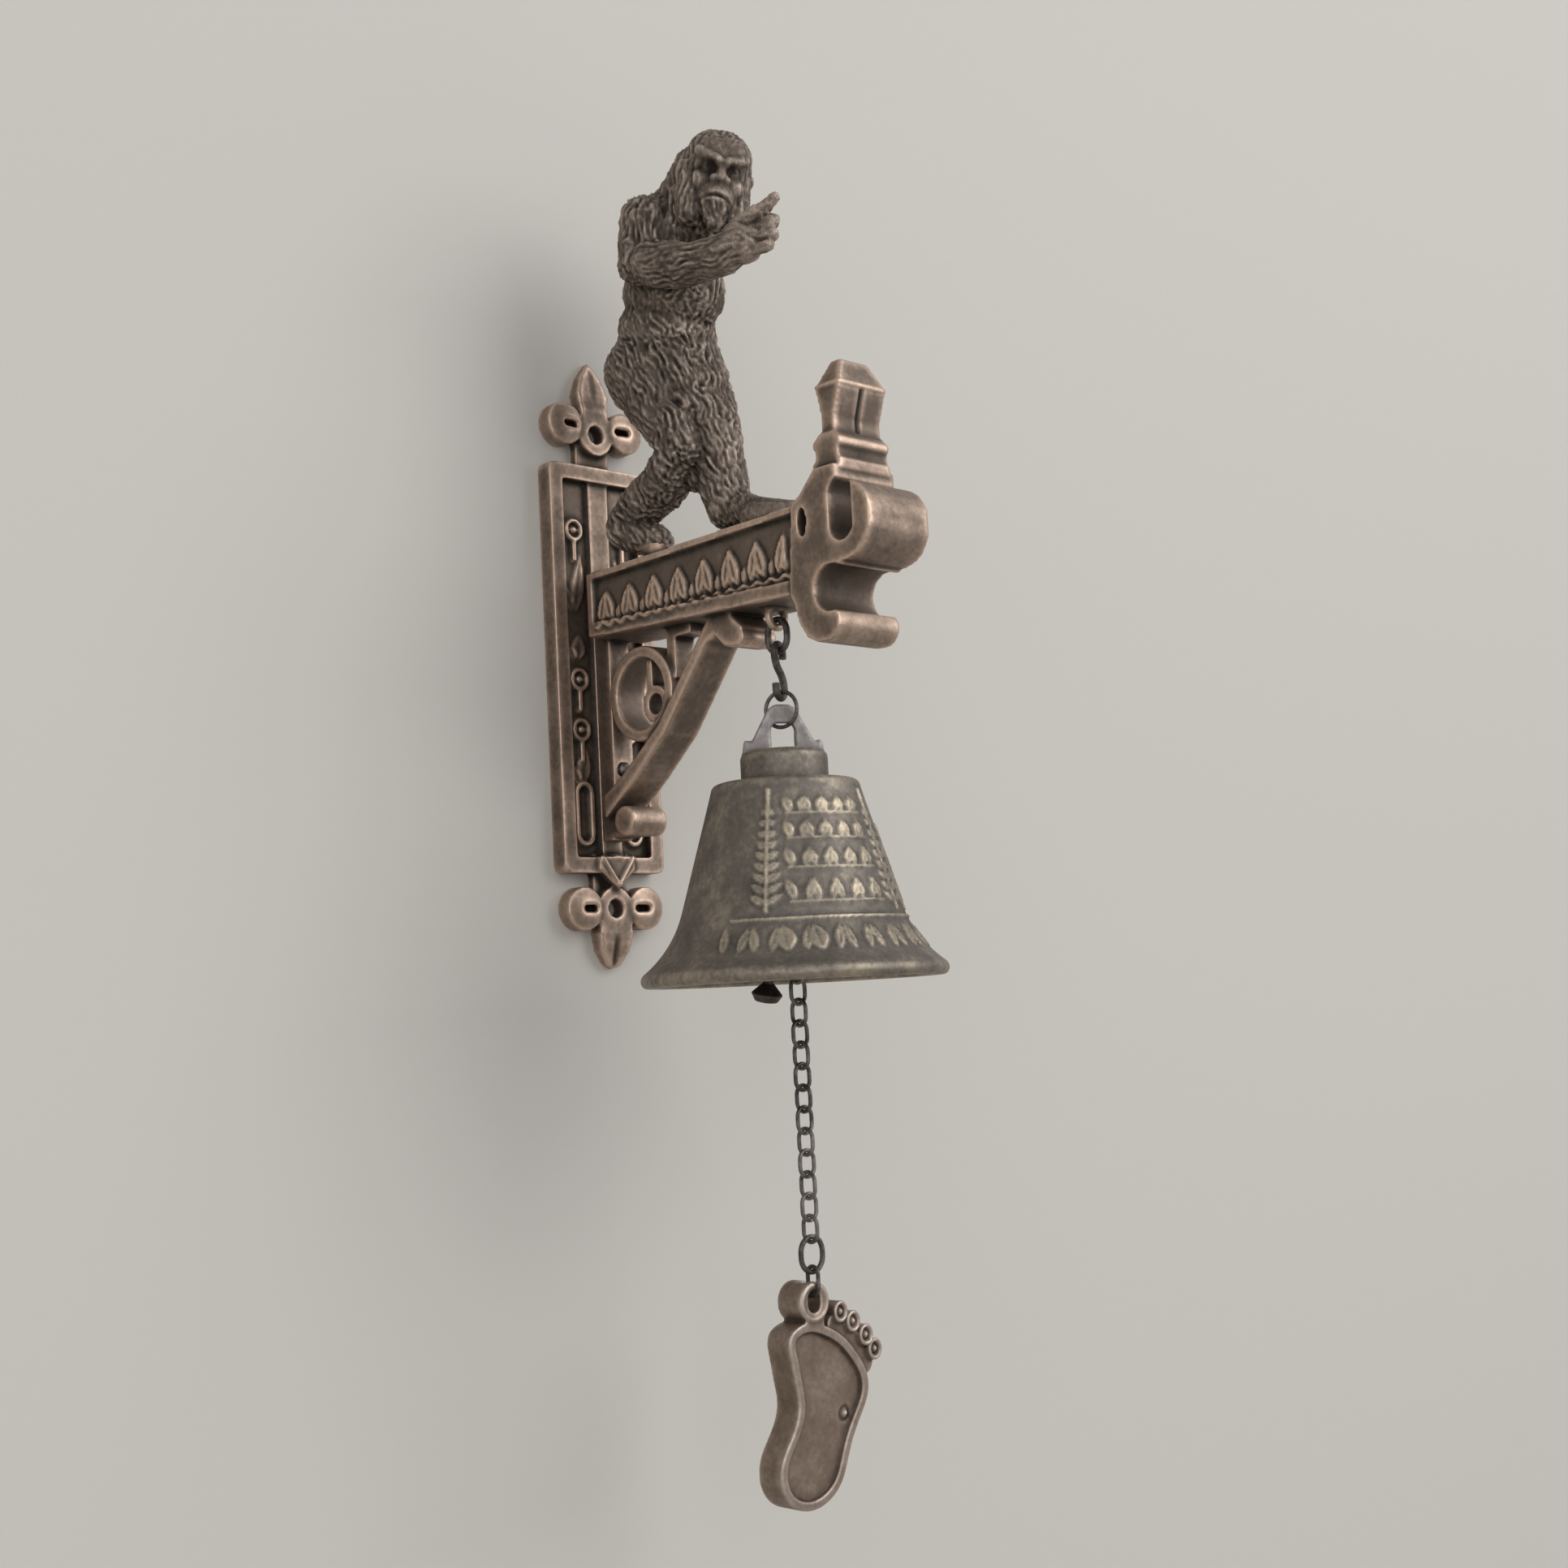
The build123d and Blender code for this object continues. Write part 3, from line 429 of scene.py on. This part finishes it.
bracket = recast(merged_copy("bracket", "cast_bracket"), grain=0.5, rounds=3)
work = bmesh.new()
work.from_mesh(bracket.data)
bmesh.ops.delete(work, geom=[v for v in work.verts if not bare_bracket(v.co)], context="VERTS")
work.to_mesh(bracket.data)
work.free()
places, normals = points_of(bracket.data)
x, y, z = (places / MM).T
facing = np.clip(np.abs(normals[:, 0]) * 1.6 - 0.6, 0.0, 1.0) * (np.abs(x) > PANEL_SIDE)
height = np.zeros(len(x))
for index in range(LEAF_COUNT):
    foot = 14.5 + LEAF_SPACING * index
    low = 10.2 + 0.012 * foot
    height += leaf(-y, z, foot, low, -16 if index % 2 else 14, 9.6 + 0.02 * foot, 4.0)
    height += 0.8 * leaf(-y, z, foot + 2.4, low, 4, 5.0, 2.2)
stem = 10.0 + 0.55 * np.sin(-y * 1.21)
height += np.clip(1.4 - np.abs(z - stem) / 0.5, 0.0, 1.0) * (y < -13.5) * (y > -92.0)
sunk_panel = (y < PANEL_BACK) & (y > PANEL_FRONT) & (z > PANEL_LOW) & (z < PANEL_HIGH)
height = np.clip(height, 0.0, 1.0) * facing * sunk_panel * 0.95
front = np.clip(-normals[:, 1], 0.0, 1.0)
height -= 0.9 * np.exp(-(x / 0.55) ** 2) * front * (z > GROOVE_LOW) * (z < GROOVE_HIGH)
height += 0.35 * np.exp(-((z - RIDGE_Z) / 0.6) ** 2) * (z > 50)
emboss(bracket, height)
# Besides patina, wear and the rubbed relief, the last share is painted shade in the large hollows and painted
# light on the large bulges.
mark_wear_and_shade(bracket, reach=6, depth=0.25, raised=np.clip(height, 0.0, 1.0) * 0.35, painted_shade_and_light=0.4)
finish_piece(bracket, copper, "mounting", "casting", "bracket")


# Figure: a shaggy upright beast in mid stride, cast with the bracket. Its near forearm crosses the
# chest and the hand points up, its far arm swings back, and short wavy fur covers all but its face
# and hands.
HEAD = Vector((-1.0, -62.3, 128.4))
FACE_TURN = math.radians(28.0)
FACE_OUT = Vector((-math.sin(FACE_TURN), -math.cos(FACE_TURN), 0.0))
FACE_ROLL = math.radians(12.0)
FACE_LEVEL = Vector((math.cos(FACE_TURN), -math.sin(FACE_TURN), 0.0))
FACE_SIDE = FACE_LEVEL * math.cos(FACE_ROLL) - Vector((0, 0, math.sin(FACE_ROLL)))
FACE_UP = FACE_LEVEL * math.sin(FACE_ROLL) + Vector((0, 0, math.cos(FACE_ROLL)))
FIGURE_GRAIN = 0.46
DIRECTION_COUNT = 200
DIRECTIONS = []
for step in range(DIRECTION_COUNT):
    rise = 1.0 - 2.0 * (step + 0.5) / DIRECTION_COUNT
    turn = step * math.pi * (3.0 - math.sqrt(5.0))
    reach = math.sqrt(1.0 - rise * rise)
    DIRECTIONS.append(Vector((reach * math.cos(turn), reach * math.sin(turn), rise)))


def add_ball(work, centre, radii, turn=None):
    """An ellipsoid. turn, if given, is the direction that its second axis points in."""
    shape = Matrix.Diagonal((*radii, 1.0))
    if turn is not None:
        shape = turn.to_track_quat("Y", "Z").to_matrix().to_4x4() @ shape
    place = Matrix.Translation(Vector(centre)) @ shape
    bmesh.ops.create_icosphere(work, subdivisions=4, radius=1.0, matrix=place)


def add_limb(work, start, end, start_radius, end_radius):
    """A rounded limb that tapers from one joint to the next."""
    made = [work.verts.new(Vector(place) + direction * radius)
            for place, radius in ((start, start_radius), (end, end_radius)) for direction in DIRECTIONS]
    hull = bmesh.ops.convex_hull(work, input=made)
    inside = [v for v in hull["geom_interior"] if isinstance(v, bmesh.types.BMVert)]
    bmesh.ops.delete(work, geom=inside, context="VERTS")


def on_face(out, side, rise):
    """A place on the head: out from its middle towards the face, to the side, and up."""
    return HEAD + FACE_OUT * out + FACE_SIDE * side + FACE_UP * rise


# Middle and half sizes of each ball of the body.
TORSO = [
    ((0, -34, 79), (13, 15.2, 12)),
    ((0, -37.6, 90.5), (12, 14.9, 14)),
    ((0, -42, 101), (12.6, 15.6, 15)),
    ((0, -43.6, 111), (13.5, 14.2, 13)),
    ((0, -42.2, 120.5), (13, 13.6, 8.5)),
    ((-2, -31.5, 80.5), (10.5, 11.6, 11)),
]
# Start, end and both radii of each stretch of arm, leg, foot, neck and chest.
LIMBS = [
    ((-11, -44.2, 118.2), (-12, -43.6, 107), 7.4, 7.2),
    ((-12, -45, 106), (-12, -61, 100.8), 6.8, 5.7),
    ((-12, -61, 100.8), (-10, -74.5, 100), 5.7, 5.2),
    ((-10, -74.5, 100), (-8.6, -80.5, 103), 5.0, 5.2),
    ((11, -40, 121), (12.5, -35, 106), 8, 6.2),
    ((12.5, -35, 106), (13, -38, 90), 6.2, 4.4),
    ((2, -41, 80), (3.6, -46, 70), 12, 9.8),
    ((3.6, -46, 70), (4, -51, 60), 9.8, 7.6),
    ((4, -51, 60), (4, -53.4, 47), 7.6, 7.2),
    ((4, -53.4, 47), (4, -56.2, 37), 7.2, 6.2),
    ((4, -57, 36), (4, -68, 33), 5.4, 4.4),
    ((4, -68, 33), (4.4, -80.5, 31), 4.4, 3.0),
    ((2, -68, 32), (1.4, -79, 30.6), 4.0, 2.6),
    ((-2.6, -32, 80), (-4, -41.5, 65), 12, 8.4),
    ((-4, -41.5, 65), (-4, -47.6, 54.5), 8.4, 6.8),
    ((-4, -47.6, 54.5), (-4, -38.5, 46), 6.8, 6.8),
    ((-4, -38.5, 46), (-4, -28, 42), 6.8, 6.4),
    ((-4, -28, 43), (-4, -21.4, 38), 5.8, 5.6),
    ((-4, -21.8, 37), (-4, -31, 32.5), 5.8, 4.8),
    ((-4, -31, 32.5), (-4, -35.5, 31), 4.8, 3.8),
    ((0, -44.5, 66), (0.4, -48.0, 47), 9.0, 4.4),
    ((3.4, -54, 52), (3.6, -51.5, 42), 6.0, 3.6),
    ((-1, -47.5, 123.2), (-1, -57.5, 131), 8.0, 7.8),
    ((-1, -57, 122), (-1, -48, 114), 9.4, 10.5),
]
# The same of the pointing finger, the folded fingers and the thumb.
FINGERS = [
    ((-8.6, -81.5, 105.8), (-8.0, -92.4, 110.8), 2.8, 1.4),
    ((-7.4, -83.5, 104.8), (-7.2, -90.4, 105.0), 2.2, 2.0),
    ((-7.8, -83.5, 101.9), (-7.6, -90.6, 101.4), 2.1, 1.9),
    ((-8.4, -83, 99.4), (-8.2, -89.4, 98.6), 2.0, 1.7),
    ((-10.6, -78, 105.4), (-10.0, -86.4, 108.6), 2.1, 1.5),
]
work = bmesh.new()
for centre, radii in TORSO:
    add_ball(work, centre, radii)
for limb in LIMBS + FINGERS:
    add_limb(work, *limb)
add_ball(work, (-8.6, -81.2, 102.2), (4.2, 5.8, 6.2))
add_ball(work, HEAD + Vector((0, 0, 0.4)), (8.9, 9.6, 11.8), FACE_OUT)
add_ball(work, on_face(0.0, 1.9, 3.4), (7.8, 9.0, 9.0), FACE_OUT)
add_limb(work, on_face(5.6, 0, -9.6), on_face(6.6, 1.0, -16.5), 5.4, 2.4)
add_ball(work, on_face(6.2, 0, -8.8), (4.8, 3.4, 4.4), FACE_OUT)
for side in (-1, 1):
    add_limb(work, on_face(7.2, side * 6.4, 2.6), on_face(9.6, side * 1.6, -0.2), 1.4, 1.7)
    add_ball(work, on_face(5.6, side * 4.3, -5.2), (3.0, 2.7, 3.6), FACE_OUT)
    add_ball(work, on_face(9.6, side * 1.7, -5.2), (1.4, 1.4, 1.2), FACE_OUT)
    add_ball(work, on_face(8.0, side * 3.9, -2.0), (1.7, 1.7, 1.7))
    add_limb(work, on_face(8.4, side * 3.9, -10.8), on_face(9.8, 0, -9.0), 0.9, 1.1)
    add_limb(work, on_face(8.2, side * 3.0, -12.2), on_face(9.6, 0, -11.2), 0.9, 1.1)
    add_limb(work, on_face(1.5, side * 7.4, -1), on_face(3.0, side * 5.2, -13), 3.2, 4.2)
add_limb(work, on_face(8.8, 0, -0.8), on_face(10.2, 0, -4.8), 1.2, 1.6)
bmesh.ops.scale(work, vec=(MM, MM, MM), verts=work.verts)
mesh = bpy.data.meshes.new("figure")
work.to_mesh(mesh)
work.free()
figure = recast(placed(mesh, "cast_figure"), grain=FIGURE_GRAIN, rounds=4)


def held(value):
    """A number held between 0 and 1."""
    return max(0.0, min(1.0, value))


FUR_SEED = 7
noise.seed_set(FUR_SEED)  # the offsets of noise_vector, which Blender else draws by the clock


def fur_height(place, flow):
    """Height from about -1 to 1 of short wavy locks of fur that lie along a direction, at a place in mm."""
    bent = place + noise.noise_vector(place * 0.2) * 1.5 + noise.noise_vector(place * 0.7) * 0.2
    along = bent.dot(flow)
    lock = (bent - flow * along) * 0.86 + flow * (along * 0.15)
    thickness = 0.62 + 0.9 * noise.noise(place * 0.16 + Vector((3.0, 9.0, 5.0)))
    return thickness * noise.noise(lock) + 0.6 * noise.noise(lock * 1.6 + Vector((7.0, 3.0, 1.0)))


# How deep the fur and the eyes' sockets are, and the ways in which the fur lies.
FUR_DEPTH = 0.95
SOCKET_DEPTH = 1.1
DOWN = Vector((0.0, 0.15, -1.0)).normalized()
SLANT = Vector((0.1, -0.55, -1.0)).normalized()
FOREARM = Vector((0.12, -1.0, -0.1)).normalized()
places, normals = points_of(figure.data)
places_mm = places / MM
heights = np.zeros(len(places))
furry = np.ones(len(places))
sockets = np.zeros(len(places))
rubbed = np.zeros(len(places))
for index, point in enumerate(places_mm):
    spot = Vector(point)
    on_forearm = spot.x < -2 and 94 < spot.z < 110
    crossing = held((-44.0 - spot.y) / 8.0) if on_forearm else 0.0
    slanted = held((97.0 - spot.z) / 8.0)
    flows = ((DOWN, (1.0 - crossing) * (1.0 - slanted)), (SLANT, slanted),
             (FOREARM, (1.0 - slanted) * crossing))
    fur = sum(share * fur_height(spot, flow) for flow, share in flows if share)
    heights[index] = fur + 0.35 * noise.noise(spot * 0.22)
    from_head = spot - HEAD
    out = from_head.dot(FACE_OUT)
    side = abs(from_head.dot(FACE_SIDE))
    rise = from_head.dot(FACE_UP)
    above_chin = 1.0 if rise > -12.0 else 0.2
    face = held((out - 4.5) / 2.5) * above_chin * held((9.5 - rise) / 3.0)
    hand = held((-77.0 - spot.y) / 3.0) if spot.z > 94 else 0.0
    foot = held((-62.0 - spot.y) / 8.0) if spot.z < 38 else 0.0
    furry[index] = 1.0 - max((0.85 if side < 5.6 else 0.45) * face, 0.45 * hand, 0.8 * foot)
    rubbed[index] = 0.35 * hand + 0.12 * face
    if out > 3.0:
        sockets[index] = math.exp(-((side - 3.9) / 1.9) ** 2 - ((rise + 2.0) / 1.6) ** 2)
        mouth = (rise + 10.2 + 0.06 * side * side) / 0.5
        sockets[index] += 0.7 * math.exp(-(side / 3.8) ** 2 - mouth ** 2)
emboss(figure, heights * furry * FUR_DEPTH - SOCKET_DEPTH * sockets)
# Besides patina and wear, the last share is painted shade in the large hollows and painted light on the large
# bulges.
mark_wear_and_shade(figure, reach=3, depth=0.2, raised=rubbed - sockets, painted_shade_and_light=0.12)


def fine_fur(tree, place):
    """Thin strands between the modelled locks, for a bump."""
    stretched = add(tree, "ShaderNodeMapping", {"Vector": place, "Scale": (1.0, 1.0, 0.24)}).outputs[0]
    strands = add(tree, "ShaderNodeTexNoise", {"Vector": stretched, "Scale": 1900.0, "Detail": 3.0,
                                               "Roughness": 0.65, "Distortion": 1.0}).outputs[0]
    return strands, 0.5


FUR_DARK = (0.036, 0.027, 0.021)
FUR_BODY = (0.155, 0.122, 0.098)
FUR_BRIGHT = (0.46, 0.375, 0.31)
fur_copper = aged_metal("furred_copper", FUR_DARK, FUR_BODY, FUR_BRIGHT, mottle=0.9, extra_height=fine_fur)
finish_piece(figure, fur_copper, "mounting", "casting")


# Suspension: hanger link, S hook and bell ring, all of dark wire. The clapper's eye and the two fixing
# screws have the same dark metal.
WIRE_DARK = (0.018, 0.016, 0.014)
WIRE_BODY = (0.085, 0.076, 0.068)
WIRE_BRIGHT = (0.40, 0.36, 0.32)
dark_wire = aged_metal("dark_wire", WIRE_DARK, WIRE_BODY, WIRE_BRIGHT, wear=0.8, mottle=0.7, metallic=0.9)


def wire_piece(node, slot="hardware", body=None, grain=0.2):
    """A piece of bent wire, with worn outer faces."""
    piece = recast(merged_copy(node, "wire_" + node), grain=grain, rounds=2)
    mark_wear_and_shade(piece, reach=8, depth=0.3)
    finish_piece(piece, dark_wire, body or node, slot, node)


for node in ("hanger_link", "s_hook", "bell_ring"):
    wire_piece(node)
wire_piece("clapper_eye", body="bell")
for node in ("upper_fixing_screw", "lower_fixing_screw"):
    wire_piece(node, body="mounting", grain=0.25)


# Bell: a flared shell with a rolled lip, a flat cap and a pierced crown with small points at its
# feet. A generic relief of tall fronds, rows of leaves and a leaf band, on the side that faces the view,
# is worn to a pale gold. Angles run round the bell in degrees from its front.
BELL_AXIS_Y = -76.5
CAP_TOP = -33.03
LUG_ANGLE = math.radians(-28.0)
LUG_REACH = 9.8
RELIEF_LOW = -88.5
RELIEF_HIGH = -43.5
RELIEF_DEPTH = 0.55
FRONDS = ((-57, -76, 31), (22, -76, 31), (36, -76, 22))  # angle, foot and length
FROND_STEPS = 9
LEAF_ROWS = ((-51.0, 4.6), (-57.6, 5.0), (-65.0, 5.6), (-73.6, 6.4))  # height and leaf length
ROW_START = -45.0
ROW_SPAN = 57.0
ROW_LEAVES = 9
BAND_LEAVES = 17
BROAD_BAND_LEAVES = (4, 6)
BRONZE_DARK = (0.040, 0.036, 0.032)
BRONZE_BODY = (0.180, 0.156, 0.133)
BRONZE_BRIGHT = (0.50, 0.42, 0.31)
CROWN_DARK = (0.10, 0.09, 0.085)
CROWN_BODY = (0.27, 0.245, 0.23)
CROWN_BRIGHT = (0.5, 0.47, 0.44)
bronze = aged_metal("aged_bronze", BRONZE_DARK, BRONZE_BODY, BRONZE_BRIGHT, wear=0.9, mottle=0.75,
                    grain_depth=0.08)
crown_metal = aged_metal("pale_crown", CROWN_DARK, CROWN_BODY, CROWN_BRIGHT, wear=0.8, mottle=0.9,
                         metallic=0.6, grain_depth=0.12)

shell = merged_copy("bell", "cast_bell")
work = bmesh.new()
work.from_mesh(shell.data)
bmesh.ops.scale(work, vec=(1 / MM, 1 / MM, 1 / MM), verts=work.verts)
lug_way = Vector((math.cos(LUG_ANGLE), math.sin(LUG_ANGLE), 0.0))
for side in (-1, 1):
    foot = Vector((0.0, BELL_AXIS_Y, 0.0)) + lug_way * side * LUG_REACH
    inward = foot - lug_way * side * 3.0
    add_limb(work, foot + Vector((0, 0, CAP_TOP - 2.0)), foot + Vector((0, 0, CAP_TOP + 2.2)), 1.7, 1.0)
    add_limb(work, foot + Vector((0, 0, CAP_TOP - 0.5)), inward + Vector((0, 0, CAP_TOP + 2.0)), 1.4, 1.2)
bmesh.ops.scale(work, vec=(MM, MM, MM), verts=work.verts)
work.to_mesh(shell.data)
work.free()
bell = recast(shell, grain=0.58, rounds=2)
places, normals = points_of(bell.data)
x, y, z = (places / MM).T
y = y - BELL_AXIS_Y
radius = np.hypot(x, y)
angle = np.degrees(np.arctan2(x, -y))
outward = (normals[:, 0] * x + normals[:, 1] * y) / np.maximum(radius, 1e-3)
outer = np.clip(outward * 3.0, 0.0, 1.0) * (z < RELIEF_HIGH) * (z > RELIEF_LOW)


def round_bell(middle):
    """Distances in mm round the bell from a place at an angle."""
    return np.radians(angle - middle) * radius


height = np.zeros(len(x))
for middle, low, tall in FRONDS:
    u = round_bell(middle)
    height = np.maximum(height, bar(u, z, (0, low), (0, low + tall), 0.3))
    for step in range(FROND_STEPS):
        share = step / FROND_STEPS
        foot = low + 1.5 + share * (tall - 5)
        for side in (-1, 1):
            height = np.maximum(height, leaf(u, z, 0.0, foot, side * 58, 5.6 - 4.0 * share, 2.3))
for row_z, leaf_length in LEAF_ROWS:
    for index in range(ROW_LEAVES):
        u = round_bell(ROW_START + ROW_SPAN * (index + 0.5) / ROW_LEAVES)
        turn = 20 if index % 2 else -20
        height = np.maximum(height, leaf(u, z, 0.0, row_z, turn, leaf_length, 3.0))
    in_row = np.abs(round_bell(ROW_START + ROW_SPAN / 2)) < np.radians(ROW_SPAN / 2) * radius
    line = np.clip(1.2 - np.abs(z - row_z + 0.2) / 0.4, 0.0, 1.0)
    height = np.maximum(height, line * in_row * 0.7)
line = np.clip(1.3 - np.abs(z + 77.9) / 0.35, 0.0, 1.0)
height = np.maximum(height, line * (np.abs(angle + 17) < 58))
for index in range(BAND_LEAVES):
    u = round_bell(-74.0 + 7.0 * index)
    turn = 12 if index % 2 else -12
    width = 5.2 if index in BROAD_BAND_LEAVES else 2.8
    height = np.maximum(height, leaf(u, z, 0.0, -86.2, turn, 7.0, width))
height = height * outer
emboss(bell, height * RELIEF_DEPTH)
mark_wear_and_shade(bell, reach=5, depth=0.36, raised=height * 0.46)
finish_piece(bell, bronze, "bell", "bell", "bell")
bell.data.materials.append(crown_metal)
for face in bell.data.polygons:
    if face.center.z > (CAP_TOP - 0.2) * MM:
        face.material_index = 1


# Clapper: rod, ball and flared tip of dark bronze.
CLAPPER_DARK = (0.02, 0.017, 0.014)
CLAPPER_BODY = (0.06, 0.05, 0.042)
CLAPPER_BRIGHT = (0.3, 0.24, 0.19)
clapper_metal = aged_metal("clapper_bronze", CLAPPER_DARK, CLAPPER_BODY, CLAPPER_BRIGHT, wear=0.6)
clapper = recast(merged_copy("clapper", "cast_clapper"), grain=0.28, rounds=2)
mark_wear_and_shade(clapper, reach=6, depth=0.3)
finish_piece(clapper, clapper_metal, "clapper", "clapper", "clapper")


# Chain: fourteen welded links, the oval connector, and the pendant's own link.
CHAIN_LINKS = 14
for index in range(CHAIN_LINKS):
    wire_piece(f"chain_link_{index + 1:02d}", slot="chain")
wire_piece("connector_ring")
wire_piece("pendant_link", grain=0.16)


# Foot pendant: a bare foot with a rim round its sole, four small rimmed toes, and a pierced great toe.
HANG_Z = -166.93
FOOT_FRONT = -78.2
TOES = ((8.2, -10.9), (12.6, -13.9), (17.0, -17.9), (20.0, -21.9))
NICK_X = 8.8
NICK_DROP = 36.6
FOOT_DARK = (0.035, 0.028, 0.023)
FOOT_BODY = (0.225, 0.165, 0.126)
FOOT_BRIGHT = (0.50, 0.42, 0.36)
foot_copper = aged_metal("foot_copper", FOOT_DARK, FOOT_BODY, FOOT_BRIGHT, wear=0.9, mottle=0.6)
foot = recast(merged_copy("foot_pendant", "cast_foot"), grain=0.3, rounds=4)
places, normals = points_of(foot.data)
x, y, z = (places / MM).T
z = z - HANG_Z
front = np.clip(-normals[:, 1] * 1.5 - 0.2, 0.0, 1.0) * (y < FOOT_FRONT + 2.6)
height = np.zeros(len(x))
for toe_x, toe_z in TOES:
    away = np.hypot((x - toe_x) / 2.3, (z - toe_z) / 2.7)
    rim = 0.55 * np.exp(-((away - 0.82) / 0.2) ** 2)
    middle = 0.5 * np.exp(-(away / 0.32) ** 2)
    groove = 0.5 * np.exp(-((away - 0.45) / 0.18) ** 2)
    height += rim + middle - groove
great = np.hypot((x + 0.8) / 5.0, (z + 7.5) / 5.0)
height += 0.4 * np.exp(-((great - 0.86) / 0.12) ** 2)
across, along = x - NICK_X, z + NICK_DROP
nick = np.hypot(across * 0.8 - along * 0.35, along * 0.7 + across * 0.3)
height += 0.8 * np.exp(-(nick / 0.65) ** 2) - 0.3 * np.exp(-((nick - 1.25) / 0.4) ** 2)
height = height * front
emboss(foot, height)
# Besides patina and wear, the last share is painted shade in the large hollows and painted light on the large
# bulges.
mark_wear_and_shade(foot, reach=8, depth=0.28, painted_shade_and_light=0.4)
finish_piece(foot, foot_copper, "foot_pendant", "pendant", "foot_pendant")
